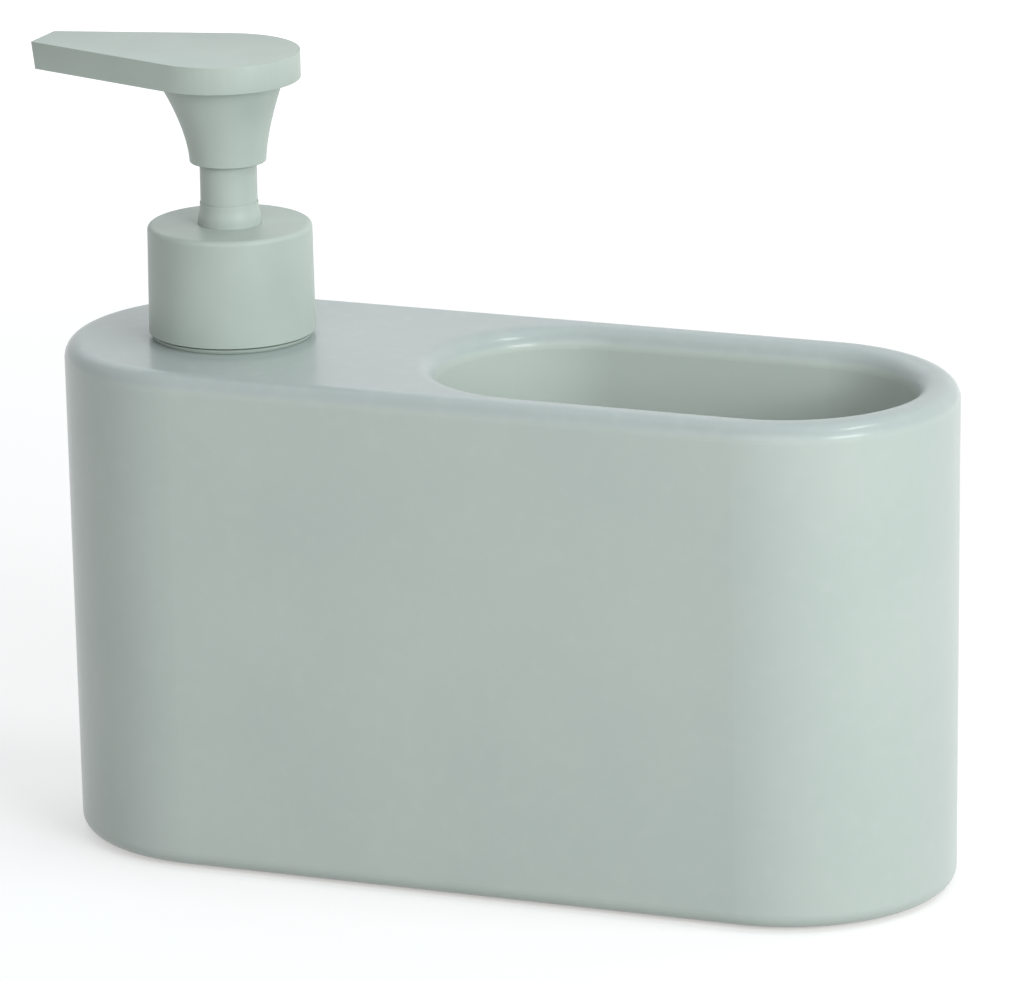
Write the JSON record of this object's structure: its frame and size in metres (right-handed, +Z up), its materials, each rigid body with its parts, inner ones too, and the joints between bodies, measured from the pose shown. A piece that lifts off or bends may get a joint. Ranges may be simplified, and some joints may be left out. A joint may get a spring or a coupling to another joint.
{
  "type": "dish soap dispenser",
  "caption": "Obround ceramic countertop holder with a soap chamber under a screw-on press pump at one end and an open round-ended sponge well at the other.",
  "frame": {"origin": "middle of the base pad's underside, on the counter, under the middle of the ceramic body", "axes": "+X along the body from the pump towards the sponge well, +Y from the front face to the back, +Z up"},
  "size_m": [0.1815, 0.064, 0.1521],
  "materials": {
    "glaze": "matte sage glaze",
    "sage_plastic": "satin sage moulding",
    "natural_plastic": "unpigmented moulding",
    "soft_plastic": "soft unpigmented moulding",
    "tube_plastic": "drawn tube",
    "seal_rubber": "matte",
    "pad_rubber": "fine foam",
    "valve_steel": "polished ball",
    "spring_steel": "drawn wire"
  },
  "bodies": {
    "holder": {"ceramic_body": "glaze", "base_pad": "pad_rubber", "neck_insert": "natural_plastic", "insert_seal": "seal_rubber"},
    "pump": {"neck_gasket": "seal_rubber", "pump_cylinder": "natural_plastic", "stem_guide": "sage_plastic", "ball_retainer": "natural_plastic", "inlet_ball": "valve_steel", "return_spring": "spring_steel", "dip_tube": "tube_plastic"},
    "collar": {"screw_cap": "natural_plastic", "collar_shell": "sage_plastic"},
    "plunger": {"piston_rod": "natural_plastic", "piston_seal": "soft_plastic", "outlet_ball": "valve_steel"},
    "head": {"stem_tube": "sage_plastic", "head_skirt": "sage_plastic", "head_plate": "sage_plastic", "nozzle_insert": "sage_plastic"}
  },
  "joints": [
    {"name": "pump_lift", "type": "slide", "parent": "holder", "child": "pump", "axis": [0, 0, 1], "range_m": [0, 0.105]},
    {"name": "collar_turn", "type": "hinge", "parent": "pump", "child": "collar", "pos_m": [-0.0555, 0, 0.0984], "axis": [0, 0, 1], "range_deg": [0, 540]},
    {"name": "press", "type": "slide", "parent": "pump", "child": "plunger", "axis": [0, 0, -1], "range_m": [0, 0.0117], "stiffness_N_per_m": 900, "springref_m": -0.006, "deforming": ["return_spring"]},
    {"name": "head_swivel", "type": "hinge", "parent": "plunger", "child": "head", "pos_m": [-0.0555, 0, 0.12], "axis": [0, 0, 1], "continuous": true}
  ]
}
